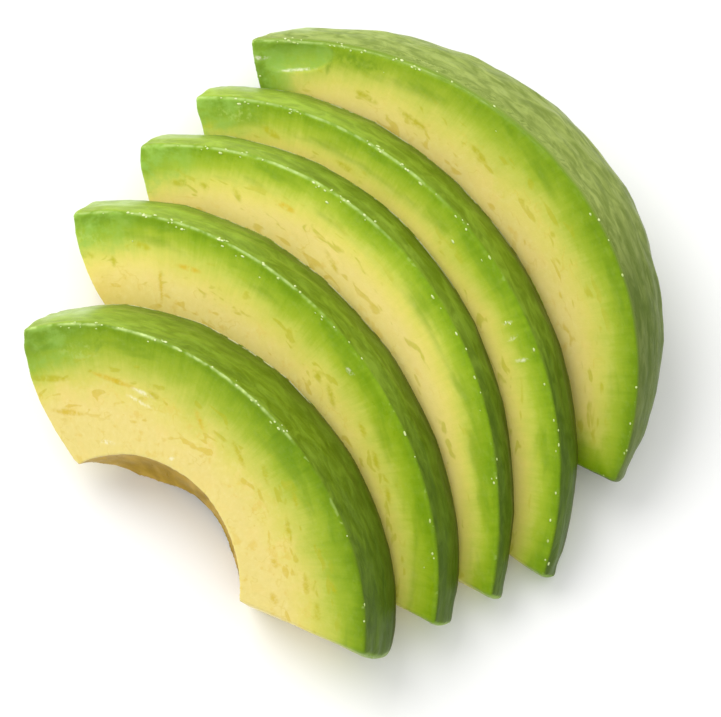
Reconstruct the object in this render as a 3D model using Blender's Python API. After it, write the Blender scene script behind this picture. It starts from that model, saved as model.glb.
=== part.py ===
# Five slices of one peeled avocado half, cut lengthwise and fanned out like tipped dominoes.
# Sizes are in metres, +Z is up and the slices lie on the board at z = 0.
# Each slice is drawn in its own frame: x runs along its feet, y runs up its slope and z points
# out of its front cut face, so the slice fills the depths from zero to its thickness behind it.

import math

import bmesh
import bpy
from mathutils import Matrix, Vector

MM = 0.001

# The fan
LEAN = math.radians(41.0)           # how steeply every slice leans up from the board
FAN_CENTRE = (-2.524, 3.062)        # middle of the fan's footprint, mm, moved onto the origin
EDGE_RADIUS = 0.5                   # soft edge round each cut face, mm
EDGE_START = 0.3                    # share of that radius at which the soft edge's middle ring lies
RIM_BULGE = 0.4                     # how far the peeled outside swells between its two edges, mm
BULGE_FROM = 0.33                   # shares of the thickness between which it is fully swollen
BULGE_TO = 0.6
BULGE_SHARE = 0.9                   # share of the swelling that is reached there
DENT_DEPTH = 0.12                   # shallow lengthwise dents left where the skin was peeled, mm
DENTS_ALONG = 11.0                  # short waves of those dents along one rim
SLOW_DENTS = 0.37                   # the long waves are this many times fewer
DENT_SHARES = (0.6, 0.4)            # how much the short and the long waves count
DENT_TURNS = (1.7, -0.9, 1.0)       # how the waves shift with depth, and the long waves' start, radians
LEFT_TIP_RADIUS = 0.5               # rounding of the pointed stem ends, mm
RIGHT_TIP_RADIUS = 0.8              # rounding of the other ends, mm
TIP_SOFTENING = 0.25                # growth of the latter, mm for each mm of depth
SOFTEST_TIP = 3.5                   # where that growth stops, mm
TIP_WEIGHT = 0.8                    # how soft the edge is at the tips, against the rim
END_WEIGHT = 0.6                    # how soft it is along the ends
FOOT_WEIGHT = 0.45                  # how soft it is along the feet

# Points along each run of an outline
RIM_POINTS = 40
END_POINTS = 5
FOOT_POINTS = 8
CORNER_POINTS = 3

# The pit was an oval stone. Its hollow is cut into the first slice only.
PIT_CENTRE = (0.36, -7.98, -0.52)   # in the first slice's frame, mm
PIT_RADII = (17.78, 20.0, 14.0)     # along the feet, up the slope and through the slice, mm
PIT_TILT = math.radians(19.5)       # turn about the line of the feet
PIT_SEGMENTS = 56
PIT_RINGS = 28

# The block under the board, which flattens each slice where it rests
BOARD_WIDTH = 200.0                 # mm
BOARD_DEPTH = 40.0                  # mm

FLESH_ROUGHNESS = 0.38

# The end piece keeps the domed side of the half.
DOME_DEPTH = 18.0                   # thickness of the end piece at its middle, mm
DOME_CENTRE = (0.0, 20.0)           # point that the dome closes towards, mm
DOME_BULGE = 2.2                    # extra swelling of the dome, mm
DOME_BULGE_DEPTH = 16.0             # depth over which that swelling lasts, mm
DOME_DRIFT = (0.3, 0.9)             # how far the dome's widest part sits off the cut face's middle, mm
DOME_DRIFT_DEPTH = 8.0              # depth at which that drift is complete, mm
DOME_POWER_ALONG = 2.2              # roundness of the dome seen from above
DOME_POWER_UP = 3.0                 # roundness of the dome seen from its end
DOME_DENT_DEPTH = 0.22              # dents on the peeled dome, mm
DOME_DENT_SLANT = 0.5               # how fast those dents shift with depth, against the slices' dents
DOME_END_FULLNESS = 0.3             # the bulge's share at the ends, against the crown
DOME_DEPTHS = (3.0, 5.2, 7.4, 9.6, 11.6, 13.4, 15.0, 16.3, 17.2, 17.8)  # rings behind the soft edge, mm

# One entry a slice, first the one at the front. Lengths are in mm and turns in degrees.
# place: the frame's origin on the front cut face. turn: heading of the slope.
# rim: the outer edge is part of an ellipse given by its centre, its two radii and its roll.
# tips, bends and feet: the left and right ends run from tip to foot and bend on the way.
# flare: how much wider the back is than the front, at the right tip, the crown and the left tip.
# slant: how far the left end slants in and the right end slants out, mm for each mm of depth.
SLICES = {
    "slice_1": {
        "place": (-30.18, -27.19, 8.23), "turn": 46.0, "thickness": 10.9,
        "rim_centre": (-0.4, -7.7), "rim_radii": (40.5, 36.5), "rim_roll": 7.2,
        "flare": (-0.3, 0.0, 0.0), "slant": (0.25, 0.52),
        "left_tip": (-34.9, 9.9), "left_bend": (-30.6, 2.6), "left_foot": (-17.2, -0.8),
        "right_tip": (35.0, 9.6), "right_bend": (25.6, 5.7), "right_foot": (16.0, 1.6),
        "flesh": (0.66, 0.67, 0.24),
    },
    "slice_2": {
        "place": (-19.27, -12.94, 5.74), "turn": 41.0, "thickness": 7.6,
        "rim_centre": (-1.7, -14.6), "rim_radii": (48.0, 41.9), "rim_roll": 6.8,
        "flare": (-0.6, 0.2, 0.3), "slant": (0.35, 0.47),
        "left_tip": (-42.4, 6.2), "left_bend": (-37.9, 0.9), "left_foot": (-28.0, -0.8),
        "right_tip": (40.2, 5.5), "right_bend": (34.6, 3.2), "right_foot": (26.0, -0.8),
        "flesh": (0.64, 0.68, 0.24),
    },
    "slice_3": {
        "place": (-9.91, -4.22, 4.30), "turn": 38.0, "thickness": 5.7,
        "rim_centre": (-1.6, -39.4), "rim_radii": (57.1, 69.6), "rim_roll": -2.2,
        "flare": (-0.8, 0.3, 0.8), "slant": (0.5, 0.50),
        "left_tip": (-44.1, 5.2), "left_bend": (-39.8, 1.6), "left_foot": (-34.0, -0.8),
        "right_tip": (43.2, 4.1), "right_bend": (38.6, 2.1), "right_foot": (32.5, -0.8),
        "flesh": (0.63, 0.68, 0.25),
    },
    "slice_4": {
        "place": (-0.60, 2.56, 4.91), "turn": 36.0, "thickness": 6.5,
        "rim_centre": (-3.8, -24.3), "rim_radii": (55.7, 50.4), "rim_roll": 37.6,
        "flare": (-1.2, 0.4, 1.0), "slant": (0.55, 0.46),
        "left_tip": (-45.7, 3.4), "left_bend": (-41.6, 0.7), "left_foot": (-37.5, -0.8),
        "right_tip": (45.1, 2.0), "right_bend": (40.8, 0.1), "right_foot": (38.0, -0.8),
        "flesh": (0.60, 0.67, 0.24),
    },
    "slice_5": {
        "place": (2.90, 8.59, 0.0), "turn": 38.0, "thickness": DOME_DEPTH,
        "rim_centre": (-8.1, -24.5), "rim_radii": (52.0, 68.1), "rim_roll": 150.4,
        "flare": (-0.5, 0.35, 1.8), "slant": (0.6, 0.40),
        "left_tip": (-44.5, 12.7), "left_bend": (-39.6, 9.0), "left_foot": (-33.0, 6.0),
        "right_tip": (44.0, 13.5), "right_bend": (38.2, 11.4), "right_foot": (30.0, 6.0),
        "flesh": (0.58, 0.66, 0.24),
    },
}


def new_collection(name):
    """A collection linked to the scene."""
    collection = bpy.data.collections.new(name)
    bpy.context.scene.collection.children.link(collection)
    return collection


def flesh_material(name, colour):
    """Wet avocado flesh."""
    material = bpy.data.materials.new(name)
    material.use_nodes = True
    shader = material.node_tree.nodes["Principled BSDF"]
    shader.inputs["Base Color"].default_value = (*colour, 1.0)
    shader.inputs["Roughness"].default_value = FLESH_ROUGHNESS
    shader.inputs["Metallic"].default_value = 0.0
    return material


def bend(start, control, end, count):
    """Points on the curve from start towards end, the end left out."""
    points = []
    for step in range(count):
        t = step / count
        points.append(start * (1 - t) ** 2 + control * (2 * t * (1 - t)) + end * t ** 2)
    return points


def rim_point(dims, angle):
    """A point of the rim's ellipse."""
    roll = math.radians(dims["rim_roll"])
    along, across = dims["rim_radii"]
    x = along * math.cos(angle)
    y = across * math.sin(angle)
    centre = Vector(dims["rim_centre"])
    return centre + Vector((x * math.cos(roll) - y * math.sin(roll), x * math.sin(roll) + y * math.cos(roll)))


def rim_angle(dims, point):
    """The ellipse's angle nearest to a point."""
    roll = math.radians(dims["rim_roll"])
    along, across = dims["rim_radii"]
    offset = point - Vector(dims["rim_centre"])
    x = offset.x * math.cos(roll) + offset.y * math.sin(roll)
    y = offset.y * math.cos(roll) - offset.x * math.sin(roll)
    return math.atan2(y / across, x / along)


def outline(dims, depth):
    """The outline at a depth, anticlockwise from the right tip, as (point, rim share, place on the rim)."""
    slant_in, slant_out = dims["slant"]
    moved_in = Vector((slant_in * depth, 0.0))
    end_line = (Vector(dims["right_tip"]) - Vector(dims["right_foot"])).normalized()
    moved_out = Vector((end_line.y, -end_line.x)) * slant_out * depth
    left_foot = Vector(dims["left_foot"]) + moved_in
    left_bend = Vector(dims["left_bend"]) + moved_in
    right_foot = Vector(dims["right_foot"]) + moved_out
    right_bend = Vector(dims["right_bend"]) + moved_out
    start = rim_angle(dims, Vector(dims["right_tip"]) + moved_out)
    end = rim_angle(dims, Vector(dims["left_tip"]) + moved_in)
    right_tip = rim_point(dims, start)
    left_tip = rim_point(dims, end)
    sweep = (end - start) % math.tau
    length = sweep * 0.5 * sum(dims["rim_radii"])
    right_radius = min(SOFTEST_TIP, RIGHT_TIP_RADIUS + TIP_SOFTENING * depth)
    first = start + sweep * right_radius / length
    last = start + sweep * (1 - LEFT_TIP_RADIUS / length)
    rim = []
    for step in range(RIM_POINTS + 1):
        share = step / RIM_POINTS
        rim.append((rim_point(dims, first + (last - first) * share), share))

    left_in = left_tip + (left_bend - left_tip).normalized() * LEFT_TIP_RADIUS
    right_in = right_tip + (right_bend - right_tip).normalized() * right_radius
    points = [(point, 1.0, share) for point, share in rim]
    points += [(point, TIP_WEIGHT, 1.0) for point in bend(rim[-1][0], left_tip, left_in, CORNER_POINTS)[1:]]
    points += [(point, END_WEIGHT, 1.0) for point in bend(left_in, left_bend, left_foot, END_POINTS)]
    foot_middle = (left_foot + right_foot) / 2
    points += [(point, FOOT_WEIGHT, 1.0) for point in bend(left_foot, foot_middle, right_foot, FOOT_POINTS)]
    points += [(point, END_WEIGHT, 0.0) for point in bend(right_foot, right_bend, right_in, END_POINTS)]
    points += [(point, TIP_WEIGHT, 0.0) for point in bend(right_in, right_tip, rim[0][0], CORNER_POINTS)]
    return points


def outward(points, index):
    """The outline's outward direction at one of its points."""
    before = points[index - 1][0]
    after = points[(index + 1) % len(points)][0]
    along = (after - before).normalized()
    return Vector((along.y, -along.x))


def dents(share, depth, size):
    """Shallow dents that run along the peeled outside, zero at both tips."""
    fade = math.sin(math.pi * share) ** 0.5 if 0.0 < share < 1.0 else 0.0
    turn, slow_turn, slow_start = DENT_TURNS
    wave = math.sin(math.tau * DENTS_ALONG * share + turn * depth)
    slow = math.sin(math.tau * SLOW_DENTS * DENTS_ALONG * share + slow_turn * depth + slow_start)
    return size * fade * (DENT_SHARES[0] * wave + DENT_SHARES[1] * slow)


def flare(sizes, share):
    """The flare at a place on the rim, through its sizes at the right tip, the crown and the left tip."""
    right, crown, left = sizes
    near_tips = right * (1 - share) * (1 - 2 * share) + left * share * (2 * share - 1)
    return near_tips + crown * 4 * share * (1 - share)


def slab_stations(thickness):
    """(depth, edge inset, swelling share) of each ring between two parallel cut faces."""
    inner = EDGE_START * EDGE_RADIUS
    return [
        (0.0, EDGE_RADIUS, 0.0),
        (inner, inner, 0.0),
        (EDGE_RADIUS, 0.0, 0.0),
        (BULGE_FROM * thickness, 0.0, BULGE_SHARE),
        (BULGE_TO * thickness, 0.0, BULGE_SHARE),
        (thickness - EDGE_RADIUS, 0.0, 0.0),
        (thickness - inner, inner, 0.0),
        (thickness, EDGE_RADIUS, 0.0),
    ]


def slab_rings(dims):
    """Rings of a slice that has a cut face at the front and one at the back."""
    rings = []
    for depth, inset, swell in slab_stations(dims["thickness"]):
        points = outline(dims, depth)
        ring = []
        for index, (point, rim_share, share) in enumerate(points):
            on_rim = 1.0 if rim_share == 1.0 else 0.0
            growth = RIM_BULGE * swell * rim_share
            growth += on_rim * (swell > 0.0) * dents(share, depth, DENT_DEPTH)
            growth += on_rim * flare(dims["flare"], share) * depth / dims["thickness"]
            growth -= inset * rim_share
            moved = point + outward(points, index) * growth
            ring.append((moved.x, moved.y, -depth))
        rings.append(ring)
    return rings


def dome_rings(dims):
    """Rings of the end piece, from its cut face back to the closed end of its dome."""
    centre = Vector(DOME_CENTRE)
    inner = EDGE_START * EDGE_RADIUS
    insets = {0.0: EDGE_RADIUS, inner: inner}
    rings = []
    for depth in (0.0, inner, EDGE_RADIUS, *DOME_DEPTHS):
        reach = depth / DOME_DEPTH
        along = (1 - reach ** DOME_POWER_ALONG) ** (1 / DOME_POWER_ALONG)
        up = (1 - reach ** DOME_POWER_UP) ** (1 / DOME_POWER_UP)
        drift = Vector(DOME_DRIFT) * min(1.0, depth / DOME_DRIFT_DEPTH)
        swell = math.sin(math.pi * min(1.0, depth / DOME_BULGE_DEPTH))
        points = outline(dims, depth)
        ring = []
        for index, (point, rim_share, share) in enumerate(points):
            on_rim = 1.0 if rim_share == 1.0 else 0.0
            fullness = on_rim * (1 - (2 * share - 1) ** 4) + (1 - on_rim) * DOME_END_FULLNESS * rim_share
            growth = (DOME_BULGE * fullness + on_rim * flare(dims["flare"], share)) * swell
            growth -= insets.get(depth, 0.0) * rim_share
            growth += on_rim * swell * dents(share, DOME_DENT_SLANT * depth, DOME_DENT_DEPTH)
            moved = point + outward(points, index) * growth - centre
            ring.append((moved.x * along + centre.x + drift.x, moved.y * up + centre.y + drift.y, -depth))
        rings.append(ring)
    return rings


def loft(name, rings):
    """A closed solid through rings that all have the same number of points."""
    mesh = bpy.data.meshes.new(name)
    work = bmesh.new()
    rows = [[work.verts.new(Vector(spot) * MM) for spot in ring] for ring in rings]
    for front, back in zip(rows, rows[1:]):
        for index in range(len(front)):
            following = (index + 1) % len(front)
            side = work.faces.new((front[following], front[index], back[index], back[following]))
            side.smooth = True
    work.faces.new(rows[0])
    work.faces.new(list(reversed(rows[-1])))
    bmesh.ops.recalc_face_normals(work, faces=work.faces)
    work.to_mesh(mesh)
    work.free()
    return bpy.data.objects.new(name, mesh)


def stand(thing, dims):
    """Place a slice, or its cutter, in the fan."""
    x, y, z = dims["place"]
    thing.location = ((x - FAN_CENTRE[0]) * MM, (y - FAN_CENTRE[1]) * MM, z * MM)
    thing.rotation_euler = (LEAN, 0.0, math.radians(dims["turn"] - 90.0))


def hide_cutter(cutter, collection):
    """A cutter is kept as a guide only."""
    collection.objects.link(cutter)
    cutter.hide_render = True
    cutter.display_type = "WIRE"


def board_cutter(collection):
    """The block under the board, which flattens each slice where it rests."""
    work = bmesh.new()
    bmesh.ops.create_cube(work, size=1.0)
    bmesh.ops.scale(work, verts=work.verts, vec=Vector((BOARD_WIDTH, BOARD_WIDTH, BOARD_DEPTH)) * MM)
    bmesh.ops.translate(work, verts=work.verts, vec=(0.0, 0.0, -BOARD_DEPTH / 2 * MM))
    mesh = bpy.data.meshes.new("board_cutter")
    work.to_mesh(mesh)
    work.free()
    cutter = bpy.data.objects.new("board_cutter", mesh)
    hide_cutter(cutter, collection)
    return cutter


def pit_cutter(dims, collection):
    """The pit, an oval ball."""
    work = bmesh.new()
    bmesh.ops.create_uvsphere(work, u_segments=PIT_SEGMENTS, v_segments=PIT_RINGS, radius=1.0)
    bmesh.ops.scale(work, verts=work.verts, vec=Vector(PIT_RADII) * MM)
    bmesh.ops.rotate(work, verts=work.verts, matrix=Matrix.Rotation(PIT_TILT, 3, "X"))
    bmesh.ops.translate(work, verts=work.verts, vec=Vector(PIT_CENTRE) * MM)
    mesh = bpy.data.meshes.new("pit_cutter")
    work.to_mesh(mesh)
    work.free()
    cutter = bpy.data.objects.new("pit_cutter", mesh)
    stand(cutter, dims)
    hide_cutter(cutter, collection)
    return cutter


def cut(thing, cutter):
    """Take the cutter's volume out of a slice."""
    step = thing.modifiers.new("cut by " + cutter.name, "BOOLEAN")
    step.operation = "DIFFERENCE"
    step.solver = "EXACT"
    step.object = cutter


def main():
    for thing in list(bpy.data.objects):
        bpy.data.objects.remove(thing, do_unlink=True)
    fan = new_collection("avocado")
    cutters = new_collection("cutters")
    board = board_cutter(cutters)
    for name, dims in SLICES.items():
        rings = dome_rings(dims) if name == "slice_5" else slab_rings(dims)
        piece = loft(name, rings)
        piece.data.materials.append(flesh_material(name.replace("_", " ") + " flesh", dims["flesh"]))
        stand(piece, dims)
        fan.objects.link(piece)
        if name == "slice_1":
            cut(piece, pit_cutter(dims, cutters))
        cut(piece, board)


main()
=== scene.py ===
# Half of a ripe, peeled avocado, cut lengthwise into five slices that still stand as a fan.
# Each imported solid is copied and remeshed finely, then given its peel streaks, the colours of its
# flesh and small beads of moisture.

import math

import bmesh
import bpy
import numpy as np
from mathutils import Euler, Matrix, Vector, kdtree, noise


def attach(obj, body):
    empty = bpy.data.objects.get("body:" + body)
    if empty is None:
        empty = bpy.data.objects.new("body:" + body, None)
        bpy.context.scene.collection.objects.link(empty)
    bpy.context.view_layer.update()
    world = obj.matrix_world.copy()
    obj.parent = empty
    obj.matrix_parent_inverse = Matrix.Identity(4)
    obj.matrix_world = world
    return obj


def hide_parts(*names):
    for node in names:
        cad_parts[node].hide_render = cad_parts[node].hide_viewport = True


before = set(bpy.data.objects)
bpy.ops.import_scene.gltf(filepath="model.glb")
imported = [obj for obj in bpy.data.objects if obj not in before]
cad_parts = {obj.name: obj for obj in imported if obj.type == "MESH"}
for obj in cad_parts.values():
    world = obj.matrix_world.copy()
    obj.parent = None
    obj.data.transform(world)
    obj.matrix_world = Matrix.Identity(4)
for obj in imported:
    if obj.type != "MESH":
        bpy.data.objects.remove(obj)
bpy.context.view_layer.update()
mm = 0.001
print("frame loaded")

# The fan. Each slice has a frame of its own: x along its feet, y up its slope, z out of its front
# cut face. Places and lengths in it are in mm.
fan = {
    "centre": (-2.524, 3.062),      # middle of the footprint, mm
    "lean": 41.0,                   # degrees
    "voxel": 0.30,                  # mesh fineness, mm
    "merge": 1e-6,                  # metres between corners that are one
    "bodyName": "root",
}

# One entry a slice. place and turn set its frame, and thick is how far it goes behind its front face.
# leftTip is its stem end, toe the back corner of its right end, which is rounded off, and rimCentre
# and rimRadii give the ellipse of its peeled edge. band is the width of the green layer, crown how
# much wider it gets in the middle, and seed starts its noise. The number after crown is painted light:
# it makes the whole face paler on the slices that the others shade and darker on the ones in more
# light. shine is how far right the painted highlight on the wet front edge stays unbroken, and the
# number after shine how strong that painted highlight is.
# marks are single things seen on its face: kind, x, y, half length, half width and turn in degrees.
slices = {
    "slice_1": {
        "place": (-30.18, -27.19, 8.23), "turn": 46.0, "thick": 10.9,
        "leftTip": (-34.9, 9.9), "toe": (38.0, 5.0, 10.9),
        "rimCentre": (-0.4, -7.7), "rimRadii": (40.5, 36.5),
        "band": 0.78, "crown": 0.14, "paintedBrightness": 0.92, "seed": 11.0, "shine": 2.0, "highlightStrength": 0.6,
        "marks": [
            ("dark", -31.1, 11.1, 2.2, 1.2, 57.0),
            ("vein", -27.4, 7.0, 3.6, 0.55, 43.0),
            ("dark", -24.3, 17.3, 1.6, 0.6, 106.0),
            ("pale", -26.1, 13.9, 3.6, 1.4, 44.0),
            ("amber", -19.3, 14.5, 4.0, 0.4, 25.0),
            ("vein", -12.8, 17.4, 1.2, 0.5, 13.0),
            ("amber", -5.2, 19.8, 1.8, 0.4, -31.0),
            ("vein", 2.6, 20.2, 2.3, 0.4, -28.0),
            ("vein", 7.6, 20.8, 1.6, 0.4, -38.0),
            ("vein", 13.4, 21.1, 1.4, 0.4, -40.0),
            ("vein", 15.4, 16.5, 2.2, 0.45, -44.0),
            ("vein", 22.3, 11.8, 1.6, 0.5, -48.0),
            ("vein", 26.1, 9.7, 1.5, 0.5, -48.0),
            ("vein", 25.7, 14.6, 1.0, 0.4, -30.0),
            ("amber", 16.6, 10.8, 1.0, 0.5, -34.0),
            ("amber", 19.8, 6.2, 1.0, 0.6, -30.0),
            ("amber", -22.0, 5.0, 2.9, 0.45, 38.0),
            ("wetGleam", -14.6, 16.4, 1.9, 0.32, 20.0),
            ("wetGleam", -14.2, 14.9, 2.2, 0.25, 16.0),
            ("wetGleam", -14.5, 5.9, 1.3, 0.3, 35.0),
            ("wetGleam", -5.1, 11.7, 0.35, 0.35, 0.0),
        ],
    },
    "slice_2": {
        "place": (-19.27, -12.94, 5.74), "turn": 41.0, "thick": 7.6,
        "leftTip": (-42.4, 6.2), "toe": (41.6, 2.6, 7.6),
        "rimCentre": (-1.7, -14.6), "rimRadii": (48.0, 41.9),
        "band": 0.62, "crown": 0.12, "paintedBrightness": 1.06, "seed": 23.0, "shine": -6.0, "highlightStrength": 0.42,
        "marks": [
            ("dark", -39.6, 8.0, 2.0, 1.2, 40.0),
            ("pale", -37.6, 5.6, 3.0, 1.2, 34.0),
            ("vein", -30.7, 11.7, 1.6, 0.6, 31.0),
            ("vein", -36.6, 3.2, 1.5, 0.6, 39.0),
            ("vein", -32.6, 6.1, 0.9, 0.4, -39.0),
            ("amber", -24.4, 9.5, 2.6, 0.35, -46.0),
            ("amber", -22.8, 15.2, 2.2, 0.45, 33.0),
            ("vein", 2.8, 19.4, 1.2, 0.5, -16.0),
            ("vein", 6.4, 18.9, 2.0, 0.5, -32.0),
            ("vein", 13.4, 19.0, 1.4, 0.45, -24.0),
            ("vein", 17.8, 17.2, 1.7, 0.45, -30.0),
            ("vein", 22.7, 14.8, 1.6, 0.45, -32.0),
            ("wetGleam", 6.1, 24.1, 0.8, 0.3, 0.0),
        ],
    },
    "slice_3": {
        "place": (-9.91, -4.22, 4.30), "turn": 38.0, "thick": 5.7,
        "leftTip": (-44.1, 5.2), "toe": (44.6, 1.7, 5.7),
        "rimCentre": (-1.6, -39.4), "rimRadii": (57.1, 69.6),
        "band": 0.54, "crown": 0.0, "paintedBrightness": 1.08, "seed": 37.0, "shine": -10.0, "highlightStrength": 0.42,
        "marks": [
            ("vein", -35.5, 7.4, 2.0, 0.5, 45.0),
            ("vein", -32.2, 10.5, 1.0, 0.5, 20.0),
            ("vein", -27.5, 14.0, 1.2, 0.5, -15.0),
            ("amber", -20.6, 19.3, 2.0, 0.5, 23.0),
            ("vein", -9.6, 19.4, 2.2, 0.4, -12.0),
        ],
    },
    "slice_4": {
        "place": (-0.60, 2.56, 4.91), "turn": 36.0, "thick": 6.5,
        "leftTip": (-45.7, 3.4), "toe": (46.2, -0.8, 6.5),
        "rimCentre": (-3.8, -24.3), "rimRadii": (55.7, 50.4),
        "band": 0.56, "crown": 0.05, "paintedBrightness": 1.05, "seed": 41.0, "shine": -12.0, "highlightStrength": 0.36,
        "marks": [
            ("pale", -39.5, 7.8, 3.6, 1.4, 50.0),
            ("vein", -33.2, 10.9, 2.0, 0.6, 20.0),
            ("vein", -21.2, 17.5, 1.8, 0.5, 20.0),
            ("wetGleam", 15.6, 22.6, 0.9, 0.25, 80.0),
            ("wetGleam", 13.4, 23.4, 0.8, 0.2, 70.0),
            ("wetGleam", 19.0, 21.6, 1.1, 0.25, 60.0),
        ],
    },
    "slice_5": {
        "place": (2.90, 8.59, 0.0), "turn": 38.0, "thick": 18.0,
        "leftTip": (-44.5, 12.7), "toe": (44.8, 12.0, 3.0),
        "rimCentre": (-8.1, -24.5), "rimRadii": (52.0, 68.1),
        "band": 0.60, "crown": 0.24, "paintedBrightness": 0.95, "seed": 59.0, "shine": -14.0, "highlightStrength": 0.42,
        "marks": [
            ("scoop", -37.6, 18.0, 6.8, 2.5, 52.0),
            ("dark", -33.4, 21.8, 0.7, 2.4, 30.0),
            ("dark", -29.9, 25.4, 5.0, 1.0, 36.0),
            ("vein", -25.2, 22.7, 2.2, 0.5, 20.0),
            ("vein", -17.4, 26.3, 2.6, 0.6, 16.0),
            ("vein", -6.4, 31.3, 2.0, 0.5, 0.0),
            ("wetGleam", -42.0, 12.6, 1.6, 0.3, 50.0),
            ("wetGleam", -36.2, 16.4, 3.4, 0.2, 52.0),
        ],
    },
}

endPiece = "slice_5"
markKinds = ("dark", "pale", "vein", "amber", "wetGleam", "scoop")

# The stone's oval hollow in the first slice: centre, radii and tilt about x, in that slice's frame.
pitHollow = {
    "node": "slice_1",
    "centre": (0.36, -7.98, -0.52),
    "radii": (17.78, 20.0, 14.0),
    "tilt": 19.5,
    "nearWall": (0.8, 0.3),         # mm from the oval: where its look ends, and where it is whole
    "start": 0.25,                  # mm behind the face
}

noiseGain = 1.6                     # brings Blender's noise to about -1 to 1
noiseMiddle = 0.5                   # of a Noise Texture
perSquareMm = 1e6                   # square mm in a square metre


def smoothStep(low, high, values):
    t = np.clip((values - low) / (high - low), 0.0, 1.0)
    return t * t * (3.0 - 2.0 * t)


def tone(red, green, blue):
    # a colour picked on screen, 0 to 255, as the shader's linear numbers
    linear = []
    for part in (red, green, blue):
        part /= 255.0
        linear.append(part / 12.92 if part <= 0.04045 else ((part + 0.055) / 1.055) ** 2.4)
    return (*linear, 1.0)


def ripple(points, waves, seed):
    # smooth noise at every point, about -1 to 1, with so many waves a mm on each axis
    shifted = points * np.array(waves) + seed
    return np.array([noise.noise(Vector(spot)) for spot in shifted]) * noiseGain


def sliceFrame(dims):
    x, y, z = dims["place"]
    spot = Vector((x - fan["centre"][0], y - fan["centre"][1], z)) * mm
    turn = Euler((math.radians(fan["lean"]), 0.0, math.radians(dims["turn"] - 90.0)))
    return Matrix.Translation(spot) @ turn.to_matrix().to_4x4()


def readPoints(mesh, what="co"):
    values = np.empty(len(mesh.vertices) * 3)
    source = mesh.vertices if what == "co" else mesh.vertex_normals
    source.foreach_get(what if what == "co" else "vector", values)
    return values.reshape(-1, 3)


def writeAttribute(mesh, name, values, kind="FLOAT"):
    layer = mesh.attributes.new(name, kind, "POINT")
    layer.data.foreach_set("value" if kind == "FLOAT" else "vector", np.float32(values).ravel())


class Link:
    # one output socket; arithmetic on it adds Math nodes
    def __init__(self, graph, socket):
        self.graph = graph
        self.socket = socket

    def __add__(self, other):
        return self.graph.maths("ADD", self, other)

    def __radd__(self, other):
        return self.graph.maths("ADD", other, self)

    def __sub__(self, other):
        return self.graph.maths("SUBTRACT", self, other)

    def __rsub__(self, other):
        return self.graph.maths("SUBTRACT", other, self)

    def __mul__(self, other):
        return self.graph.maths("MULTIPLY", self, other)

    def __rmul__(self, other):
        return self.graph.maths("MULTIPLY", other, self)

    def __truediv__(self, other):
        return self.graph.maths("DIVIDE", self, other)

    def __rtruediv__(self, other):
        return self.graph.maths("DIVIDE", other, self)

    def ramp(self, low, high):
        # 0 at low, 1 at high, smooth between
        made = self.graph.node("ShaderNodeMapRange", {"interpolation_type": "SMOOTHSTEP"},
                               {"Value": self, "From Min": low, "From Max": high})
        return made["Result"]

    def window(self, low, high, soft):
        # 1 between low and high, 0 outside, with soft sides
        return self.ramp(low - soft, low + soft) * (1.0 - self.ramp(high - soft, high + soft))


class Graph:
    # a node tree, for a material or for Geometry Nodes
    def __init__(self, tree):
        self.tree = tree

    def node(self, kind, settings, values):
        made = self.tree.nodes.new(kind)
        for key, value in settings.items():
            if key == "stops":
                ramp = made.color_ramp.elements
                for spare in list(ramp)[1:]:
                    ramp.remove(spare)
                for index, (place, colour) in enumerate(value):
                    stop = ramp[0] if index == 0 else ramp.new(place)
                    stop.position = place
                    stop.color = colour
            else:
                setattr(made, key, value)
        for key, value in values.items():
            self.feed(made.inputs[key], value)
        return {out.name: Link(self, out) for out in made.outputs if out.enabled}

    def feed(self, socket, value):
        if isinstance(value, Link):
            self.tree.links.new(value.socket, socket)
        else:
            socket.default_value = value

    def maths(self, operation, first, second):
        return self.node("ShaderNodeMath", {"operation": operation}, {0: first, 1: second})["Value"]

    def mix(self, share, first, second, blend="MIX"):
        settings = {"data_type": "RGBA", "blend_type": blend, "clamp_factor": True}
        return self.node("ShaderNodeMix", settings, {0: share, 6: first, 7: second})["Result"]

    def attribute(self, name, out="Fac"):
        return self.node("ShaderNodeAttribute", {"attribute_name": name}, {})[out]

    def noise(self, vector, waves, detail=3.0, roughness=0.5, warp=0.0, centred=False, between=None):
        # waves in a unit on each axis; centred takes its middle to 0, and between makes it a mask
        # that is 0 at its first value and 1 at its second
        multiply = {"operation": "MULTIPLY"}
        scaled = self.node("ShaderNodeVectorMath", multiply, {0: vector, 1: waves})["Vector"]
        cloud = self.node("ShaderNodeTexNoise", {}, {
            "Vector": scaled, "Scale": 1.0, "Detail": detail, "Roughness": roughness,
            "Distortion": warp})["Fac"]
        if between:
            return cloud.ramp(*between)
        return cloud - noiseMiddle if centred else cloud


def newMaterial(name):
    material = bpy.data.materials.new(name)
    material.use_nodes = True
    g = Graph(material.node_tree)
    return material, g, material.node_tree.nodes["Principled BSDF"].inputs


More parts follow.
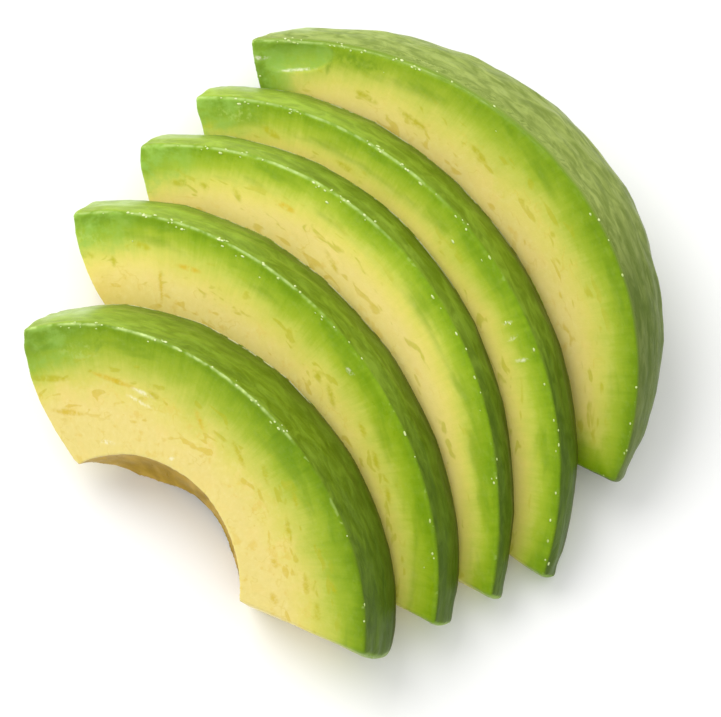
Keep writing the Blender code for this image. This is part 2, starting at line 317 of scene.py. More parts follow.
flesh = {
    # colour against depth under the peeled outside, mm
    "bands": [
        (0.0, tone(106, 140, 0)),
        (1.0, tone(116, 149, 2)),
        (2.6, tone(136, 165, 24)),
        (5.2, tone(162, 182, 46)),
        (7.6, tone(193, 199, 80)),
        (10.4, tone(215, 208, 98)),
        (13.0, tone(227, 213, 116)),
        (16.0, tone(232, 214, 130)),
    ],
    "deepest": 16.0,
    # mm that each of these moves the bands in and out
    "pulls": {"wander": 3.6, "patch": 2.4, "fine": 0.8, "fibres": 2.6, "stem": 2.6},
    "stemBase": 0.7,                # share of the stem's pull that the patches leave alone
    "tones": {
        "vein": tone(180, 176, 10),
        "crack": tone(212, 186, 56),
        "amberVein": tone(210, 180, 34),
        "stem": tone(148, 186, 78),
        "cutGreen": tone(138, 176, 66),
        "lowShade": tone(206, 178, 58),
        "blush": tone(234, 212, 126),
        "amber": tone(224, 194, 84),
        "darkGreen": tone(98, 138, 4),
        "paleGreen": tone(186, 206, 104),
        "pale": tone(246, 240, 186),
        "olive": tone(168, 162, 24),
        "gleam": tone(250, 248, 220),
        "edgeLight": tone(204, 226, 142),
        "pitLight": tone(196, 162, 56),
        "pitDark": tone(158, 128, 26),
    },
    # Noise. waves is how many a mm along the rim, under the outside and behind the face.
    "noise": {
        "wander": {"waves": (0.10, 0.10, 0.10), "detail": 2.0, "centred": True},
        "patch": {"waves": (0.34, 0.42, 0.42), "centred": True},
        "fibres": {"waves": (1.3, 0.16, 0.5), "roughness": 0.6, "centred": True},
        "fine": {"waves": (2.2, 2.2, 2.2), "centred": True},
        "blush": {"waves": (0.22, 0.26, 0.3), "detail": 4.0, "between": (0.5, 0.7)},
        "amber": {"waves": (0.30, 0.46, 0.4), "detail": 4.0, "roughness": 0.6, "between": (0.57, 0.70)},
        "shade": {"waves": (0.085, 0.30, 0.2), "between": (0.48, 0.68)},
        "dashes": {"waves": (0.26, 0.7, 0.5), "detail": 1.6, "warp": 0.4, "between": (0.60, 0.68)},
        "lines": {"waves": (0.13, 0.24, 0.2), "centred": True},
        "lineBreaks": {"waves": (0.2, 0.2, 0.2), "detail": 1.0, "between": (0.5, 0.62)},
        "ragged": {"waves": (0.9, 0.9, 0.9), "detail": 4.0, "roughness": 0.6},
        "cloud": {"waves": (0.30, 0.42, 0.4), "roughness": 0.6, "between": (0.38, 0.66)},
        "mottle": {"waves": (0.75, 1.0, 0.9), "detail": 4.0, "roughness": 0.65},
        "stroke": {"waves": (0.26, 0.95, 0.85), "detail": 5.0, "roughness": 0.62, "warp": 0.6,
                   "between": (0.32, 0.68)},
        "blotch": {"waves": (0.07, 0.2, 0.2), "detail": 2.0, "between": (0.4, 0.6)},
        "edgeBreaks": {"waves": (0.5, 0.5, 0.5), "detail": 2.0},
        "backBreaks": {"waves": (0.5, 0.3, 0.3), "detail": 2.0, "between": (0.46, 0.56)},
        "stain": {"waves": (0.12, 0.3, 0.12), "between": (0.3, 0.7)},
        "film": {"waves": (0.3, 0.5, 0.4), "centred": True},
        "pores": {"waves": (3.0, 3.0, 3.0), "detail": 4.0, "roughness": 0.6},
    },
    # where things begin and end: mm under the outside, and a third number is how soft both ends are
    "depths": {
        "inner": (6.0, 12.0),
        "shade": (0.8, 4.4, 0.9),
        "veinTurnsAmber": (7.0, 12.0),
        "dashes": (4.5, 14.5, 1.6),
        "lines": (5.0, 8.0),
        "stem": (5.0, 9.0),
    },
    "crownPlace": (-14.0, 22.0, 14.0),      # mm right of the middle, and how soft
    "lineWidth": (0.002, 0.014),            # in parts of the noise's height
    "raggedEdge": {"dark": (0.3, 0.6), "pale": (0.45, 0.65), "vein": (0.25, 0.6), "amber": (0.25, 0.6),
                   "wetGleam": (0.35, 0.6)},
    # least share of its tone, and what the cloud noise adds
    "clouding": {"stem": (0.2, 0.6), "scoop": (0.45, 0.35), "paleReflection": (0.25, 0.35)},
    "scoopEdge": (0.0, 0.35),
    "lowShadeHeights": (0.002, 0.014),         # metres above the board
    "mottleLight": (0.48, 0.72),
    "mottleDark": (0.26, 0.50),
    "mottleInGreen": 0.3,           # how much of the light mottling the green layer keeps
    # how much of its tone each shows
    "shares": {"blush": 0.6, "amber": 0.5, "shade": 0.45, "dashes": 0.5, "lines": 0.28,
               "lowShade": 0.55, "mottleLight": 0.10, "mottleDark": 0.07, "darkMark": 0.5,
               "paleMark": 0.55, "veinMark": 0.7, "amberMark": 0.75, "wetGleamMark": 0.6},
    "wetRoughness": 0.34,
    "peelRoughness": 0.44,
    "filmRoughness": 0.4,
    "wetMarkSmooths": 0.2,
    "faceCoat": 0.08,
    "peelCoat": 0.04,
    "coatRoughness": 0.12,
    "specular": 0.12,
    "glow": {"Subsurface Weight": 0.25, "Subsurface Radius": (1.0, 0.9, 0.35),
             "Subsurface Scale": 0.0016},
    "bump": 0.14,
    "bumpHeight": 0.0004,           # metres
    "bumpShares": {"pores": 0.6, "stroke": 1.2, "fibres": 0.4},
}

# The peeled outside: the four cut slices show a bright strip, the end piece a duller dome.
outside = {
    # left, middle and right: the peel's own green, lighter on the left with painted light where it faces
    # the lamp, and darker on the right with painted shade where it faces away
    "strip": {"left": tone(156, 182, 58), "middle": tone(112, 136, 4), "right": tone(72, 98, 0),
              "dark": tone(52, 72, 0), "light": tone(160, 188, 70), "contrast": 0.32},
    "dome": {"left": tone(146, 166, 72), "middle": tone(142, 158, 72), "right": tone(88, 105, 42),
             "dark": tone(80, 100, 30), "light": tone(172, 184, 108), "contrast": 0.5},
    "sway": 14.0,                   # mm that the turns of tone wander
    "toMiddle": (-40.0, -8.0),      # mm right of the middle
    "toRight": (2.0, 34.0),
    "calm": (8.0, 36.0),            # where the light strokes fade, and by how much
    "calmShare": 0.6,
    "strokeShare": 0.7,
    "blotchShare": 0.3,
    "backShade": (0.3, 0.95),       # share of the thickness
    "backShare": 0.5,
    "deepShade": tone(70, 62, 0),   # wet strip beside the next slice
    "nextGap": (0.3, 2.2),          # mm before the back edge
    "nextPlace": (-12.0, 8.0),      # mm right of the middle
    "nextShare": 0.55,
    "paleReflection": tone(190, 210, 146),    # painted reflection: a pale sheen near the stem end, as from the bright room at a grazing angle
    "reflectionStem": (0.3, 0.7),
    "reflectionBehind": (1.0, 3.5),       # mm behind the face
}

# The wet front edge gets a painted highlight, a broken line that is unbroken on the left, and the back
# edge painted highlights too. Lengths are in mm.
edgeShine = {
    "front": (0.06, 0.28, 0.09),    # behind the face
    "frontDepth": (0.5, 1.0),       # under the outside
    "whole": (0.34, 0.58),
    "fade": 8.0,
    "spots": (0.62, 0.66),          # what is left of it further right, and how bright
    "spotShare": 0.4,
    "back": (0.15, 0.75, 0.15),     # before the back edge
    "backDepth": (0.8, 1.4),
    "backPlace": (-4.0, 12.0),      # right of the middle
}


def readFlesh(g):
    # what every point of a slice knows about its place, and each noise there
    local = g.node("ShaderNodeSeparateXYZ", {}, {"Vector": g.attribute("local", "Vector")})
    at = {"across": local["X"], "behind": local["Z"]}       # mm right of the middle, behind the face
    grain = g.attribute("grain", "Vector")
    for name in ("underPeel", "peelSide", "pitSide", "stemEnd"):
        at[name] = g.attribute(name)
    for kind in markKinds:
        at[kind + "Mark"] = g.attribute(kind + "Mark")
    for name, pattern in flesh["noise"].items():
        at[name] = g.noise(grain, **pattern)
    return at


def clouded(at, part):
    least, more = flesh["clouding"][part]
    return least + at["cloud"] * more


def bandColour(g, at, dims):
    # green under the outside, then yellow, then cream
    depth, pulls = at["underPeel"], flesh["pulls"]
    width = dims["band"] + at["across"].window(*flesh["crownPlace"]) * dims["crown"]
    level = depth / width + at["wander"] * pulls["wander"] + at["patch"] * pulls["patch"]
    level = level + at["fine"] * pulls["fine"]
    level = level + at["fibres"] * pulls["fibres"] * (1.0 - depth.ramp(*flesh["depths"]["inner"]))
    level = level - at["stemEnd"] * (flesh["stemBase"] + at["patch"]) * pulls["stem"]
    stops = [(down / flesh["deepest"], colour) for down, colour in flesh["bands"]]
    return g.node("ShaderNodeValToRGB", {"stops": stops}, {"Fac": level / flesh["deepest"]})["Color"]


def faceColour(g, at, node, dims):
    tones, shares, depths = flesh["tones"], flesh["shares"], flesh["depths"]
    depth = at["underPeel"]
    inner = depth.ramp(*depths["inner"])
    colour = bandColour(g, at, dims)
    colour = g.mix(at["blush"] * inner * shares["blush"], colour, tones["blush"])
    colour = g.mix(at["amber"] * inner * shares["amber"], colour, tones["amber"])
    shade = at["shade"] * depth.window(*depths["shade"]) * shares["shade"]
    colour = g.mix(shade, colour, tones["darkGreen"])

    # veins: short dashes along the rim, and finer wandering lines
    veinTone = g.mix(depth.ramp(*depths["veinTurnsAmber"]), tones["vein"], tones["amberVein"])
    dashes = at["dashes"] * depth.window(*depths["dashes"]) * shares["dashes"]
    colour = g.mix(dashes, colour, veinTone)
    away = g.node("ShaderNodeMath", {"operation": "ABSOLUTE"}, {0: at["lines"]})["Value"]
    lines = (1.0 - away.ramp(*flesh["lineWidth"])) * at["lineBreaks"]
    colour = g.mix(lines * depth.ramp(*depths["lines"]) * shares["lines"], colour, tones["crack"])

    # single marks with ragged edges
    marked = {"dark": tones["darkGreen"], "pale": tones["paleGreen"],
              "vein": veinTone, "amber": tones["amberVein"]}
    for kind, over in marked.items():
        mask = at[kind + "Mark"] * at["ragged"].ramp(*flesh["raggedEdge"][kind])
        colour = g.mix(mask * shares[kind + "Mark"], colour, over)

    # cloudy green at the stem end and in a scoop, and on slices 2 to 5 a deeper, warmer yellow low down:
    # painted shade and bounced light where the slices crowd each other
    stem = at["stemEnd"] * clouded(at, "stem") * (1.0 - depth.ramp(*depths["stem"]))
    colour = g.mix(stem, colour, tones["stem"])
    scoop = at["scoopMark"].ramp(*flesh["scoopEdge"]) * clouded(at, "scoop")
    colour = g.mix(scoop, colour, tones["cutGreen"])
    if node != pitHollow["node"]:
        spot = g.node("ShaderNodeTexCoord", {}, {})["Object"]
        height = g.node("ShaderNodeSeparateXYZ", {}, {"Vector": spot})["Z"]
        low = (1.0 - height.ramp(*flesh["lowShadeHeights"])) * inner * shares["lowShade"]
        colour = g.mix(low, colour, tones["lowShade"])

    light = at["mottle"].ramp(*flesh["mottleLight"]) * shares["mottleLight"]
    colour = g.mix(light * (flesh["mottleInGreen"] + inner), colour, tones["pale"])
    dark = (1.0 - at["mottle"].ramp(*flesh["mottleDark"])) * shares["mottleDark"]
    colour = g.mix(dark, colour, tones["olive"])
    # painted highlight: a pale gleam over the wet marks, which are also made smoother
    wetGleam = at["wetGleamMark"] * at["ragged"].ramp(*flesh["raggedEdge"]["wetGleam"]) * shares["wetGleamMark"]
    colour = g.mix(wetGleam, colour, tones["gleam"])
    # painted light: the slice's own factor lifts the faces that other slices shade and dims the ones in
    # more light
    paintedBrightness = dims["paintedBrightness"]
    return g.mix(1.0, colour, (paintedBrightness, paintedBrightness, paintedBrightness, 1.0), "MULTIPLY")


def outsideColour(g, at, node, dims):
    # lengthwise strokes; darker towards its back edge and its right end, partly the peel's own deeper
    # green and partly painted shade, where the next slice covers it and on the side away from the lamp
    look = outside["dome" if node == endPiece else "strip"]
    across, behind, stroke = at["across"], at["behind"], at["stroke"]
    place = across + at["wander"] * outside["sway"]
    colour = g.mix(place.ramp(*outside["toMiddle"]), look["left"], look["middle"])
    colour = g.mix(place.ramp(*outside["toRight"]), colour, look["right"])
    light = (stroke * outside["strokeShare"] + at["blotch"] * outside["blotchShare"]) * look["contrast"]
    light = light * (1.0 - place.ramp(*outside["calm"]) * outside["calmShare"])
    colour = g.mix(light, colour, look["light"])
    colour = g.mix((1.0 - stroke) * look["contrast"], colour, look["dark"])
    back = (behind / dims["thick"]).ramp(*outside["backShade"]) * outside["backShare"]
    colour = g.mix(back, colour, look["dark"])
    if node != endPiece:
        near = 1.0 - (dims["thick"] - behind).ramp(*outside["nextGap"])
        near = near * across.ramp(*outside["nextPlace"])
        colour = g.mix(near * outside["nextShare"], colour, outside["deepShade"])
    # painted reflection: a pale sheen on the outside near the stem end
    paleReflection = at["stemEnd"].ramp(*outside["reflectionStem"]) * behind.ramp(*outside["reflectionBehind"])
    return g.mix(paleReflection * clouded(at, "paleReflection"), colour, outside["paleReflection"])


def addShine(g, at, dims, colour):
    # painted highlights: a pale broken line along the front edge and another along the back edge
    across, behind, depth = at["across"], at["behind"], at["underPeel"]
    front = behind.window(*edgeShine["front"]) * (1.0 - depth.ramp(*edgeShine["frontDepth"]))
    whole = at["edgeBreaks"].ramp(*edgeShine["whole"])
    whole = whole * (1.0 - across.ramp(dims["shine"], dims["shine"] + edgeShine["fade"]))
    kept = whole + at["edgeBreaks"].ramp(*edgeShine["spots"]) * edgeShine["spotShare"]
    colour = g.mix(front * kept * dims["highlightStrength"], colour, flesh["tones"]["edgeLight"])
    back = (dims["thick"] - behind).window(*edgeShine["back"]) * at["backBreaks"]
    back = back * (1.0 - depth.ramp(*edgeShine["backDepth"]))
    back = back * (1.0 - across.ramp(*edgeShine["backPlace"]))
    return g.mix(back * dims["highlightStrength"], colour, flesh["tones"]["gleam"])


def fleshMaterial(name, node, dims):
    material, g, shader = newMaterial(name)
    at = readFlesh(g)
    peel = at["peelSide"]
    colour = g.mix(peel, faceColour(g, at, node, dims), outsideColour(g, at, node, dims))
    colour = addShine(g, at, dims, colour)
    pitTone = g.mix(at["stain"], flesh["tones"]["pitDark"], flesh["tones"]["pitLight"])
    colour = g.mix(at["pitSide"], colour, pitTone)

    roughness = flesh["wetRoughness"] + at["film"] * flesh["filmRoughness"]
    roughness = roughness + peel * (flesh["peelRoughness"] - flesh["wetRoughness"])
    roughness = roughness - at["wetGleamMark"] * flesh["wetMarkSmooths"]
    coat = flesh["faceCoat"] + peel * (flesh["peelCoat"] - flesh["faceCoat"])
    shares = flesh["bumpShares"]
    height = at["pores"] * shares["pores"] + at["stroke"] * peel * shares["stroke"]
    height = height + at["fibres"] * (1.0 - peel) * shares["fibres"]
    bump = g.node("ShaderNodeBump", {}, {
        "Height": height, "Strength": flesh["bump"], "Distance": flesh["bumpHeight"]})["Normal"]

    g.feed(shader["Base Color"], colour)
    g.feed(shader["Roughness"], roughness)
    g.feed(shader["Coat Weight"], coat)
    g.feed(shader["Normal"], bump)
    g.feed(shader["Specular IOR Level"], flesh["specular"])
    g.feed(shader["Coat Roughness"], flesh["coatRoughness"])
    for socket, value in flesh["glow"].items():
        g.feed(shader[socket], value)
    return material


relief = {
    "softening": 0.5,               # share of the way to its neighbours' middle, each round
    "softenRounds": 2,
    "toeReach": 6.5,                # how far the rounding of the right end's back corner reaches, mm
    "toeCore": 0.4,                 # share of that reach where it works in full
    "toeRounds": 50,
    "onBoard": (0.1, 0.5),          # mm above the board, where the relief begins
    "domeStretch": (0.5, 1.3),      # on the dome the rim is seen along its slope
    # unevenness: height in mm, waves a mm on each axis, and what is added to the slice's seed
    "streak": (0.09, (0.12, 0.6, 0.6), 0.0),        # strokes on the outside
    "cutFace": (0.10, (0.14, 0.14, 0.14), 3.0),
    "stemEnd": (0.16, (0.35, 0.35, 0.35), 5.0),     # torn stem end
    "seedCoat": (0.12, (0.45, 0.45, 0.3), 9.0),     # shreds on the hollow's wall
    "wetGleamMark": (0.12, (1.2, 1.2, 1.2), 0.0),
    "facetSway": (3.0, (0.1, 0.1, 0.1), 0.0),       # how a flat's ends wander along the rim
    "facet": 0.2,                   # flats left by the peeling, mm
    "facetLength": 15.0,            # mm along the rim
    "facetLift": 0.6,               # share of its height by which a flat stands proud
    "facetStart": (0.0, 3.0),       # mm behind the face
    "stemReach": (8.0, 1.5),        # mm from the stem tip, none and all of it
    "paleStem": (15.0, 4.0),        # mm from the stem tip, for the paler green
    "scoop": 0.8,                   # depth of a scooped flat, mm
    "markEdge": (1.25, 0.55),       # in parts of a mark's half sizes, none and all of it
    "front": (0.3, 0.9),            # how squarely a face looks forward
    "frontDeep": 2.0,               # mm behind the face
}


def relax(mesh, spots, share, rounds):
    # move each vertex towards the middle of its neighbours, by its share
    pairs = np.empty(len(mesh.edges) * 2, dtype=np.int64)
    mesh.edges.foreach_get("vertices", pairs)
    first, second = pairs[0::2], pairs[1::2]
    count = np.bincount(pairs, minlength=len(spots))[:, None]
    for _ in range(rounds):
        total = np.zeros(spots.shape)
        for axis in range(3):
            total[:, axis] = (np.bincount(first, spots[second, axis], len(spots))
                              + np.bincount(second, spots[first, axis], len(spots)))
        spots += (total / count - spots) * share[:, None] * relief["softening"]


def copySolid(node, place):
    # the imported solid, merged, in the slice's own frame
    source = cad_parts[node]
    mesh = bpy.data.meshes.new(node + "_flesh")
    work = bmesh.new()
    work.from_mesh(source.data)
    bmesh.ops.transform(work, matrix=place.inverted() @ source.matrix_world, verts=work.verts)
    bmesh.ops.remove_doubles(work, verts=work.verts, dist=fan["merge"])
    work.to_mesh(mesh)
    work.free()
    piece = bpy.data.objects.new(node + "_flesh", mesh)
    bpy.context.scene.collection.objects.link(piece)
    return piece


def bake(piece):
    # modifiers into a plain mesh
    bpy.context.view_layer.update()
    graph = bpy.context.evaluated_depsgraph_get()
    mesh = bpy.data.meshes.new_from_object(piece.evaluated_get(graph))
    piece.modifiers.clear()
    piece.data = mesh
    return mesh


def refine(piece):
    # even, fine faces instead of the solid's facets
    remesh = piece.modifiers.new("fine", "REMESH")
    remesh.mode = "VOXEL"
    remesh.voxel_size = fan["voxel"] * mm
    remesh.use_smooth_shade = True
    soften = piece.modifiers.new("soften", "SMOOTH")
    soften.factor = relief["softening"]
    soften.iterations = relief["softenRounds"]
    return bake(piece)


def moveTo(mesh, spots):
    mesh.vertices.foreach_set("co", (spots * mm).ravel())
    mesh.update()


def roundToe(mesh, dims, spots):
    toe = np.array(dims["toe"]) * (1.0, 1.0, -1.0)
    reach = relief["toeReach"]
    share = smoothStep(reach, reach * relief["toeCore"], np.linalg.norm(spots - toe, axis=1))
    relax(mesh, spots, share, relief["toeRounds"])
    moveTo(mesh, spots)


def markMask(dims, kind, spots):
    # 1 at the middle of each mark of a kind, 0 outside it; a scoop is a hollow with a sharp rim
    mask = np.zeros(len(spots))
    for name, x, y, length, width, turn in dims["marks"]:
        if name == kind:
            c, s = math.cos(math.radians(turn)), math.sin(math.radians(turn))
            dx, dy = spots[:, 0] - x, spots[:, 1] - y
            away = np.hypot((dx * c + dy * s) / length, (dy * c - dx * s) / width)
            bowl = np.clip(1.0 - away ** 2, 0.0, 1.0)
            inside = bowl if kind == "scoop" else smoothStep(*relief["markEdge"], away)
            mask = np.maximum(mask, inside)
    return mask


def hollowMask(spots):
    # 1 on the wall that the stone left, which starts a little behind the face
    offset = spots - np.array(pitHollow["centre"])
    tilt = math.radians(pitHollow["tilt"])
    up = offset[:, 1] * math.cos(tilt) + offset[:, 2] * math.sin(tilt)
    out = offset[:, 2] * math.cos(tilt) - offset[:, 1] * math.sin(tilt)
    turned = np.stack([offset[:, 0], up, out], axis=1) / np.array(pitHollow["radii"])
    away = np.abs(np.linalg.norm(turned, axis=1) - 1.0) * pitHollow["radii"][0]
    return smoothStep(*pitHollow["nearWall"], away) * (spots[:, 2] < -pitHollow["start"])


# What counts as the outside, where the skin was. Pairs are parts of the normal, none and all of it.
peelEdge = {
    "square": (0.45, 0.8),          # looks forward or back, so it is a cut face
    "cutDeep": 1.5,                 # mm that a cut face can be off its plane
    "underside": (0.55, 0.85),      # of the end piece
    "up": (0.05, 0.3),
    "left": (0.70, 0.85),
    "leftPlace": (-20.0, -26.0),    # mm right of the middle
    "sure": 0.85,                   # share from which depth is measured
}


def peelMask(node, dims, spots, normals, down):
    behind = -spots[:, 2]
    frontal = smoothStep(*peelEdge["square"], normals[:, 2]) * (behind < peelEdge["cutDeep"])
    if node == endPiece:
        return (1 - frontal) * (1 - smoothStep(*peelEdge["underside"], normals @ down))
    backPlane = dims["thick"] - peelEdge["cutDeep"]
    backward = smoothStep(*peelEdge["square"], -normals[:, 2]) * (behind > backPlane)
    up = smoothStep(*peelEdge["up"], normals[:, 1])
    left = smoothStep(*peelEdge["left"], -normals[:, 0])
    left = left * smoothStep(*peelEdge["leftPlace"], spots[:, 0])
    return np.maximum(up, left) * (1 - frontal) * (1 - backward)


def depthUnder(spots, outer):
    # mm from each place to the nearest one on the outside
    tree = kdtree.KDTree(len(outer))
    for index, spot in enumerate(outer):
        tree.insert(spot, index)
    tree.balance()
    return np.array([tree.find(spot)[2] for spot in spots])


def fromStemTip(dims, spots):
    return np.linalg.norm(spots[:, :2] - np.array(dims["leftTip"]), axis=1)


def rough(name, points, seed):
    height, waves, step = relief[name]
    return height * ripple(points, waves, seed + step)


def readSurface(node, dims, place, mesh, spots):
    # what each vertex is part of, before its relief
    normals = readPoints(mesh, "normal")
    behind = -spots[:, 2]
    down = np.array(place.to_3x3().inverted() @ Vector((0.0, 0.0, -1.0)))
    level = spots @ np.array(place.to_3x3().row[2]) + place.translation.z / mm
    offBoard = smoothStep(*relief["onBoard"], level)
    peel = peelMask(node, dims, spots, normals, down) * offBoard
    pit = hollowMask(spots) if node == pitHollow["node"] else np.zeros(len(spots))
    peel *= 1 - pit

    # place along the rim, as an angle round its centre
    offset = spots[:, :2] - np.array(dims["rimCentre"])
    reach = np.linalg.norm(offset, axis=1)
    arc = -np.arctan2(offset[:, 1], offset[:, 0]) * np.mean(dims["rimRadii"])
    grain = np.stack([arc, reach, behind], axis=1)
    if node == endPiece:
        inward, backward = relief["domeStretch"]
        grain[:, 1] *= 1.0 - inward * peel
        grain[:, 2] *= backward
    front = smoothStep(*relief["front"], normals[:, 2]) * (behind < relief["frontDeep"])
    flow = np.stack([offset[:, 1], -offset[:, 0], np.zeros(len(spots))], axis=1) / reach[:, None]
    return {
        "normals": normals, "behind": behind, "offBoard": offBoard, "front": front,
        "peel": peel, "pit": pit, "under": depthUnder(spots, spots[peel > peelEdge["sure"]]),
        "stem": smoothStep(*relief["stemReach"], fromStemTip(dims, spots)),
        "arc": arc, "grain": grain, "flow": flow,
    }


def reliefHeight(dims, spots, on):
    # mm that each vertex moves along its normal
    seed, grain, peel, behind = dims["seed"], on["grain"], on["peel"], on["behind"]
    flats = (on["arc"] + rough("facetSway", grain, seed)) / relief["facetLength"]
    creases = relief["facetLift"] - np.abs(np.sin(math.pi * flats))
    lift = peel * (rough("streak", grain, seed)
                   + relief["facet"] * creases * smoothStep(*relief["facetStart"], behind))
    lift += (1 - peel) * rough("cutFace", spots, seed)
    lift += on["stem"] * rough("stemEnd", spots, seed)
    lift += on["pit"] * rough("seedCoat", spots, seed)
    lift -= markMask(dims, "scoop", spots) * on["front"] * relief["scoop"]
    lift += markMask(dims, "wetGleam", spots) * on["front"] * rough("wetGleamMark", spots, seed)
    return lift * on["offBoard"]


def writeSurface(mesh, dims, spots, on):
    # what the flesh's material reads
    writeAttribute(mesh, "underPeel", on["under"])
    writeAttribute(mesh, "peelSide", on["peel"])
    writeAttribute(mesh, "pitSide", on["pit"])
    writeAttribute(mesh, "grain", on["grain"] + dims["seed"], "FLOAT_VECTOR")
    local = np.stack([spots[:, 0], spots[:, 1], on["behind"]], axis=1)
    writeAttribute(mesh, "local", local, "FLOAT_VECTOR")
    writeAttribute(mesh, "stemEnd", smoothStep(*relief["paleStem"], fromStemTip(dims, spots)))
    for kind in markKinds:
        writeAttribute(mesh, kind + "Mark", markMask(dims, kind, spots) * on["front"])


def growFlesh(node, dims):
    place = sliceFrame(dims)
    piece = copySolid(node, place)
    mesh = refine(piece)
    spots = readPoints(mesh) / mm
    roundToe(mesh, dims, spots)
    on = readSurface(node, dims, place, mesh, spots)
    spots += on["normals"] * reliefHeight(dims, spots, on)[:, None]
    moveTo(mesh, spots)
    mesh.transform(place)
    mesh.update()
    writeSurface(mesh, dims, spots, on)
    writeBeads(mesh, dims, place, spots, on)

    mesh.materials.clear()
    mesh.materials.append(fleshMaterial(node + "_wet_flesh", node, dims))
    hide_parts(node)
    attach(piece, fan["bodyName"])
    print(node, len(mesh.polygons), "faces")
    return piece


dew = {
    "Beads a square mm": 0.9,
    "Smallest": 0.07,               # radius, mm
    "Largest": 0.19,
    "Stretch": 2.4,                 # longest bead against its width
    "flatness": 0.6,                # its height against its width
    "ball": {"Segments": 8, "Rings": 5, "Radius": 1.0},
    "gate": ((0.35, 0.35, 0.35), 13.0),     # the noise that gathers beads: waves a mm, seed step
    "gateEdge": (-0.4, 0.2),
    "gateFace": (0.25, 0.6),
    "edgeLine": (0.2, 0.3),         # mm behind the face, and how wide
    "edgeDeep": 1.0,                # mm under the outside
    "edgeLeast": 0.25,
    "leftFade": 10.0,               # mm past the shine's end
    "faceDepth": (7.0, 2.0),        # mm under the outside, none and all
    "onFace": 0.05,
    "onMarks": 0.12,
    "seedStep": 5.0,
    # painted highlight: the beads are pale and opaque, in place of the glints of clear water
    "light": tone(214, 226, 160),
    "dark": tone(182, 204, 112),
    "cloud": {"waves": (900.0, 900.0, 900.0), "detail": 2.0},       # waves a metre
    "cloudEdge": (0.35, 0.65),
    "roughness": (0.08, 0.15),      # least, and more with the cloud
    "coat": {"Coat Weight": 0.25, "Coat Roughness": 0.05},
}


def writeBeads(mesh, dims, place, spots, on):
    # where beads of moisture sit, and which way they run
    waves, step = dew["gate"]
    gate = ripple(on["grain"], waves, dims["seed"] + step)
    middle, width = dew["edgeLine"]
    edge = np.exp(-((on["behind"] - middle) / width) ** 2) * (on["under"] < dew["edgeDeep"])
    edge = edge * on["offBoard"] * (1 - on["stem"])
    leftShare = smoothStep(dims["shine"] + dew["leftFade"], dims["shine"], spots[:, 0])
    beads = edge * (dew["edgeLeast"] + leftShare * smoothStep(*dew["gateEdge"], gate))
    onFace = on["front"] * smoothStep(*dew["faceDepth"], on["under"])
    beads += onFace * smoothStep(*dew["gateFace"], gate) * dew["onFace"]
    beads += markMask(dims, "wetGleam", spots) * on["front"] * dew["onMarks"]
    writeAttribute(mesh, "beads", beads)
    writeAttribute(mesh, "flow", on["flow"] @ np.array(place.to_3x3()).T, "FLOAT_VECTOR")


def dewMaterial():
    material, g, shader = newMaterial("dew")
    # painted highlight: pale, opaque beads
    cloud = g.noise(g.node("ShaderNodeTexCoord", {}, {})["Object"], **dew["cloud"])
    g.feed(shader["Base Color"], g.mix(cloud.ramp(*dew["cloudEdge"]), dew["dark"], dew["light"]))
    least, more = dew["roughness"]
    g.feed(shader["Roughness"], least + cloud * more)
    for socket, value in dew["coat"].items():
        g.feed(shader[socket], value)
    return material


def dewTree(material):
    # small flattened beads scattered over a surface, drawn out along its flow
    tree = bpy.data.node_groups.new("dew beads", "GeometryNodeTree")
    tree.interface.new_socket("Geometry", in_out="INPUT", socket_type="NodeSocketGeometry")
    for name in ("Beads a square mm", "Smallest", "Largest", "Stretch"):
        size = tree.interface.new_socket(name, in_out="INPUT", socket_type="NodeSocketFloat")
        size.default_value = dew[name]
    tree.interface.new_socket("Seed", in_out="INPUT", socket_type="NodeSocketInt").default_value = 1
    tree.interface.new_socket("Geometry", in_out="OUTPUT", socket_type="NodeSocketGeometry")
    g = Graph(tree)
    given = g.node("NodeGroupInput", {}, {})
    read = "GeometryNodeInputNamedAttribute"
    share = g.node(read, {"data_type": "FLOAT"}, {"Name": "beads"})["Attribute"]
    flow = g.node(read, {"data_type": "FLOAT_VECTOR"}, {"Name": "flow"})["Attribute"]
    density = share * given["Beads a square mm"] * perSquareMm
    spread = g.node("GeometryNodeDistributePointsOnFaces", {"distribute_method": "RANDOM"}, {
        "Mesh": given["Geometry"], "Density": density, "Seed": given["Seed"]})
    turn = g.node("FunctionNodeAlignRotationToVector", {"axis": "X", "pivot_axis": "Z"}, {
        "Rotation": spread["Rotation"], "Vector": flow})["Rotation"]
    radius = g.node("FunctionNodeRandomValue", {"data_type": "FLOAT"}, {
        2: given["Smallest"] * mm, 3: given["Largest"] * mm, "Seed": given["Seed"]})["Value"]
    long = g.node("FunctionNodeRandomValue", {"data_type": "FLOAT"}, {
        2: 1.0, 3: given["Stretch"], "Seed": given["Seed"] + dew["seedStep"]})["Value"]
    size = g.node("ShaderNodeCombineXYZ", {}, {
        "X": radius * long, "Y": radius, "Z": radius * dew["flatness"]})["Vector"]
    ball = g.node("GeometryNodeMeshUVSphere", {}, dew["ball"])["Mesh"]
    ball = g.node("GeometryNodeSetShadeSmooth", {}, {"Geometry": ball, "Shade Smooth": True})["Geometry"]
    placed = g.node("GeometryNodeInstanceOnPoints", {}, {
        "Points": spread["Points"], "Instance": ball, "Rotation": turn, "Scale": size})["Instances"]
    real = g.node("GeometryNodeRealizeInstances", {}, {"Geometry": placed})["Geometry"]
    painted = g.node("GeometryNodeSetMaterial", {}, {"Geometry": real, "Material": material})["Geometry"]
    g.node("NodeGroupOutput", {}, {"Geometry": painted})
    return tree


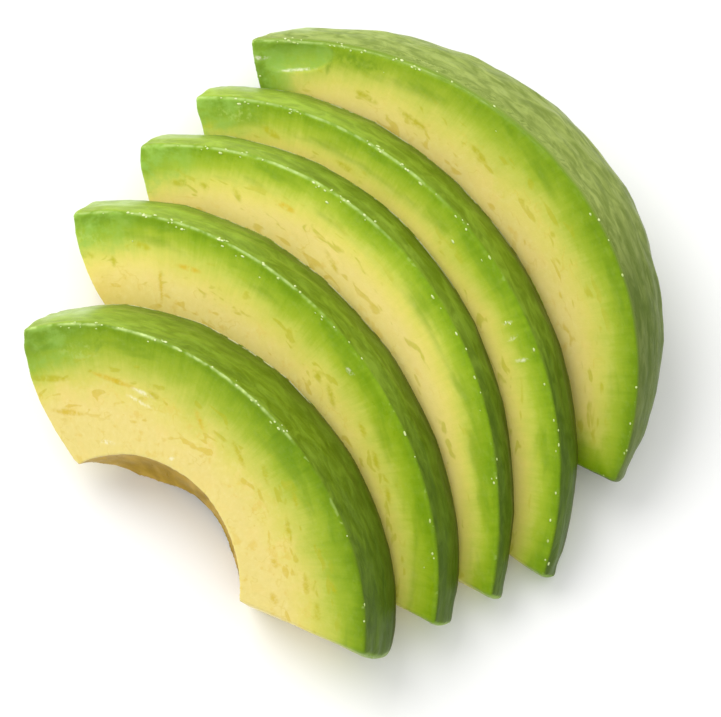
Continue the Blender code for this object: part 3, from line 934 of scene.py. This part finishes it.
def growDew(node, dims, skin, tree):
    beads = bpy.data.objects.new(node + "_dew", skin.data.copy())
    bpy.context.scene.collection.objects.link(beads)
    modifier = beads.modifiers.new("dew", "NODES")
    modifier.node_group = tree
    for item in tree.interface.items_tree:
        if item.name == "Seed":
            modifier[item.identifier] = int(dims["seed"])
    mesh = bake(beads)
    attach(beads, fan["bodyName"])
    print(beads.name, len(mesh.polygons), "faces")


pieces = {node: growFlesh(node, dims) for node, dims in slices.items()}
beadTree = dewTree(dewMaterial())
for node, dims in slices.items():
    growDew(node, dims, pieces[node], beadTree)


# The floor, light and camera. Lengths are in metres, and the lens and sensor in mm.
studio = {
    "floor": tone(250, 250, 249),
    "floorHalf": 3.0,
    "floorLook": {"Roughness": 0.8, "Specular IOR Level": 0.1},
    "sky": 0.88,
    "keyPlace": (-0.50, 0.54, 0.85),
    "keySize": 0.9,
    "keyPower": 8.0,
    "target": (0.002524, -0.003062, 0.008),
    "elevation": 75.0,
    "distance": 0.600,
    "lens": 199.7,
    "sensor": 36.0,
    "nearest": 0.01,
}


def buildStudio():
    scene = bpy.context.scene
    half = studio["floorHalf"]
    mesh = bpy.data.meshes.new("floor")
    corners = [(-half, -half, 0), (half, -half, 0), (half, half, 0), (-half, half, 0)]
    mesh.from_pydata(corners, [], [(0, 1, 2, 3)])
    floor = bpy.data.objects.new("floor", mesh)
    scene.collection.objects.link(floor)
    paint, g, shader = newMaterial("board_white")
    g.feed(shader["Base Color"], studio["floor"])
    for socket, value in studio["floorLook"].items():
        g.feed(shader[socket], value)
    mesh.materials.append(paint)

    world = bpy.data.worlds.new("sky")
    world.use_nodes = True
    light = world.node_tree.nodes["Background"].inputs
    light["Color"].default_value = (1.0, 1.0, 1.0, 1.0)
    light["Strength"].default_value = studio["sky"]
    scene.world = world

    target = Vector(studio["target"])
    lamp = bpy.data.lights.new("key", "AREA")
    lamp.shape = "DISK"
    lamp.size = studio["keySize"]
    lamp.energy = studio["keyPower"]
    key = bpy.data.objects.new("key", lamp)
    key.location = studio["keyPlace"]
    key.rotation_euler = (target - key.location).to_track_quat("-Z", "Y").to_euler()
    scene.collection.objects.link(key)

    lens = bpy.data.cameras.new("camera")
    lens.lens = studio["lens"]
    lens.sensor_width = studio["sensor"]
    lens.clip_start = studio["nearest"]
    camera = bpy.data.objects.new("camera", lens)
    tilt = math.radians(studio["elevation"])
    camera.location = target + Vector((0.0, -math.cos(tilt), math.sin(tilt))) * studio["distance"]
    camera.rotation_euler = (math.radians(90.0) - tilt, 0.0, 0.0)
    scene.collection.objects.link(camera)
    scene.camera = camera
    scene.view_settings.view_transform = "Standard"
    scene.view_settings.look = "None"
    print("studio ready")


buildStudio()
